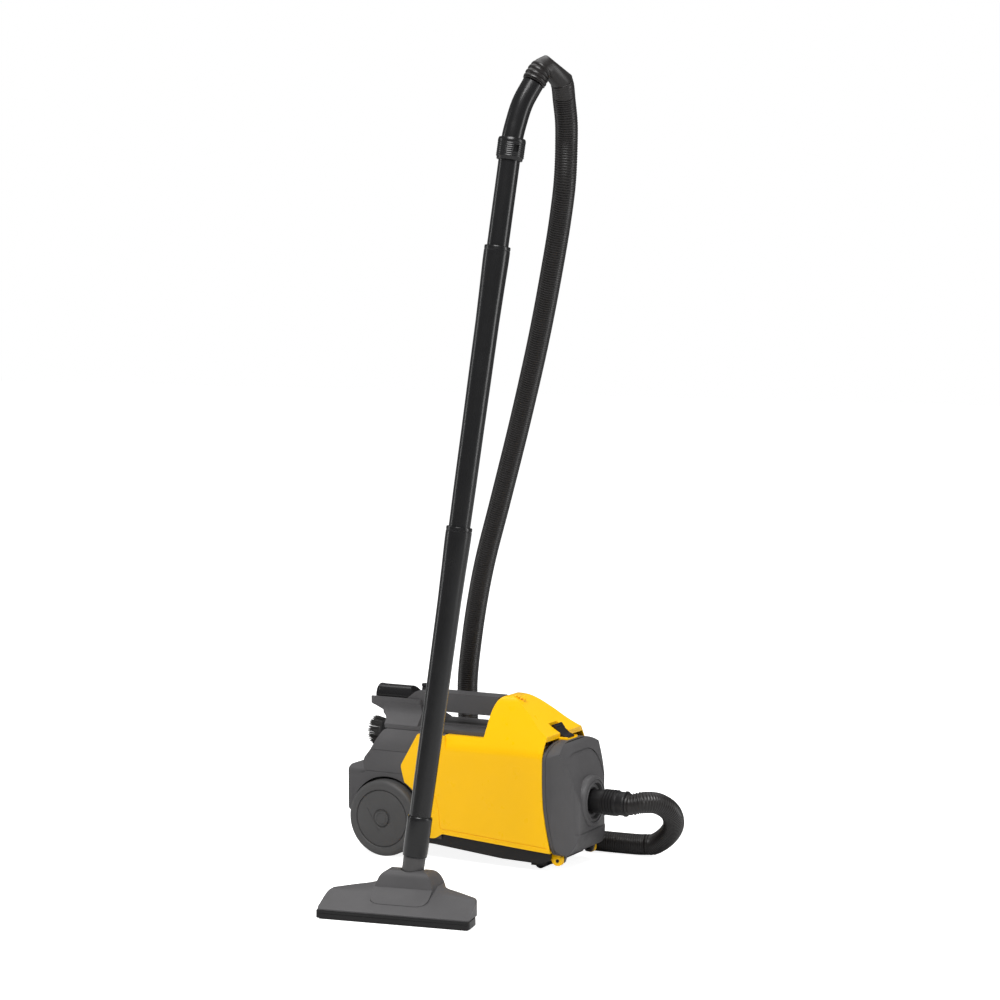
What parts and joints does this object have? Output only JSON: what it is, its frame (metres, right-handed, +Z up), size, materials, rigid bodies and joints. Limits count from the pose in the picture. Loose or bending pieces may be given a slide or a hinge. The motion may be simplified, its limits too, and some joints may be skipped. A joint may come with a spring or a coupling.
{
  "type": "canister vacuum cleaner",
  "caption": "Compact canister vacuum cleaner with a yellow dust case, ribbed hose, two-piece wand and floor nozzle.",
  "frame": {"origin": "on the floor, under the middle of the canister, wand and nozzle taken together", "axes": "+X towards the canister's front cover, +Z up, -Y towards the side where the wand stands"},
  "size_m": [0.5435, 0.6569, 1.2567],
  "materials": {
    "yellow_shell": "glossy moulded shell",
    "charcoal_plastic": "satin charcoal with a fine grain",
    "wheel_plastic": "satin charcoal",
    "black_plastic": "satin black",
    "wand_plastic": "smooth black extruded tube",
    "grey_plastic": "satin mid grey",
    "hose_vinyl": "black ribbed vinyl",
    "rubber": "matt black",
    "steel": "bright steel",
    "fan_metal": "pressed sheet",
    "bag_paper": "filter paper",
    "card": "pressed card",
    "filter_foam": "open foam",
    "bristle": "stiff nylon tufts"
  },
  "bodies": {
    "canister": {"dust_case": "yellow_shell", "motor_housing": "charcoal_plastic", "carry_handle": "charcoal_plastic", "base_pan": "black_plastic", "exhaust_filter": "filter_foam", "exhaust_grille": "black_plastic", "cord_gland": "rubber", "base_screw_1": "steel", "base_screw_2": "steel", "base_screw_3": "steel", "base_screw_4": "steel", "rear_axle": "steel", "roller_pin_left": "steel", "roller_pin_right": "steel", "switch_body": "black_plastic", "motor_stator": "steel", "motor_end_cap": "black_plastic", "fan_shroud": "black_plastic", "motor_filter": "filter_foam", "dust_bag": "bag_paper", "bag_collar": "card", "bag_mount": "black_plastic", "hinge_pin_left": "black_plastic", "hinge_pin_right": "black_plastic", "latch_pin": "steel", "hose_loop": "hose_vinyl", "hose_floor_run": "hose_vinyl", "hose_riser": "hose_vinyl"},
    "front_cover": {"front_cover": "charcoal_plastic", "cover_gasket": "rubber", "inlet_ring": "charcoal_plastic", "hose_cuff": "hose_vinyl"},
    "cover_latch": {"cover_latch": "black_plastic"},
    "power_button": {"power_button": "black_plastic"},
    "rear_wheel_left": {"rear_wheel_left": "wheel_plastic", "hub_cap_left": "wheel_plastic"},
    "rear_wheel_right": {"rear_wheel_right": "wheel_plastic", "hub_cap_right": "wheel_plastic"},
    "front_roller_left": {"front_roller_left": "rubber"},
    "front_roller_right": {"front_roller_right": "rubber"},
    "motor_rotor": {"motor_rotor": "steel", "fan_impeller": "fan_metal"},
    "crevice_tool": {"crevice_tool": "black_plastic"},
    "dusting_brush": {"brush_body": "black_plastic", "brush_bristles": "bristle"},
    "handle": {"handle_tube": "wand_plastic", "hose_bend_relief": "hose_vinyl"},
    "suction_collar": {"suction_collar": "wand_plastic"},
    "upper_wand": {"upper_wand": "wand_plastic"},
    "lower_wand": {"lower_wand": "wand_plastic"},
    "nozzle_neck": {"neck_socket": "black_plastic", "nozzle_neck": "grey_plastic"},
    "nozzle": {"nozzle_body": "charcoal_plastic", "nozzle_sole": "black_plastic", "lint_strip_front": "bristle", "lint_strip_rear": "bristle"}
  },
  "joints": [
    {"name": "front_cover_hinge", "type": "hinge", "parent": "canister", "child": "front_cover", "pos_m": [0.16, 0.2, 0.019], "axis": [0, 1, 0], "range_deg": [0, 45], "deforming": ["hose_loop"]},
    {"name": "cover_latch_press", "type": "hinge", "parent": "canister", "child": "cover_latch", "pos_m": [0.133, 0.2, 0.2095], "axis": [0, -1, 0], "range_deg": [0, 14], "stiffness_Nm_per_rad": 0.4},
    {"name": "power_button_press", "type": "slide", "parent": "canister", "child": "power_button", "axis": [0, 0, -1], "range_m": [0, 0.0028], "stiffness_N_per_m": 400},
    {"name": "rear_wheel_left_spin", "type": "hinge", "parent": "canister", "child": "rear_wheel_left", "pos_m": [-0.143, 0.127, 0.062], "axis": [0, 1, 0], "continuous": true},
    {"name": "rear_wheel_right_spin", "type": "hinge", "parent": "canister", "child": "rear_wheel_right", "pos_m": [-0.143, 0.273, 0.062], "axis": [0, 1, 0], "continuous": true},
    {"name": "front_roller_left_spin", "type": "hinge", "parent": "canister", "child": "front_roller_left", "pos_m": [0.121, 0.16, 0.009], "axis": [0, 1, 0], "continuous": true},
    {"name": "front_roller_right_spin", "type": "hinge", "parent": "canister", "child": "front_roller_right", "pos_m": [0.121, 0.24, 0.009], "axis": [0, 1, 0], "continuous": true},
    {"name": "motor_spin", "type": "hinge", "parent": "canister", "child": "motor_rotor", "pos_m": [-0.123, 0.2, 0.112], "axis": [1, 0, 0], "continuous": true},
    {"name": "crevice_tool_pull", "type": "slide", "parent": "canister", "child": "crevice_tool", "axis": [-1, 0, 0], "range_m": [0, 0.2]},
    {"name": "dusting_brush_pull", "type": "slide", "parent": "canister", "child": "dusting_brush", "axis": [-1, 0, 0], "range_m": [0, 0.024]},
    {"name": "wand_stroke", "type": "slide", "parent": "canister", "child": "handle", "axis": [-0.1599, 0.9871, 0], "range_m": [-0.1, 0.1], "deforming": ["hose_riser"]},
    {"name": "suction_collar_turn", "type": "hinge", "parent": "handle", "child": "suction_collar", "pos_m": [0.1883, -0.0742, 1.1172], "axis": [0.0925, 0.1136, 0.9892], "range_deg": [0, 90]},
    {"name": "upper_wand_twist", "type": "hinge", "parent": "handle", "child": "upper_wand", "pos_m": [0.1733, -0.0926, 0.9569], "axis": [0.0925, 0.1136, 0.9892], "continuous": true},
    {"name": "lower_wand_twist", "type": "hinge", "parent": "upper_wand", "child": "lower_wand", "pos_m": [0.1345, -0.1403, 0.5414], "axis": [0.0925, 0.1136, 0.9892], "continuous": true},
    {"name": "neck_swivel", "type": "hinge", "parent": "lower_wand", "child": "nozzle_neck", "pos_m": [0.0951, -0.1886, 0.121], "axis": [0.0925, 0.1136, 0.9892], "continuous": true},
    {"name": "nozzle_tilt", "type": "hinge", "parent": "nozzle_neck", "child": "nozzle", "pos_m": [0.0868, -0.1988, 0.032], "axis": [0.9871, 0.1599, 0], "range_deg": [-3, 50]}
  ]
}
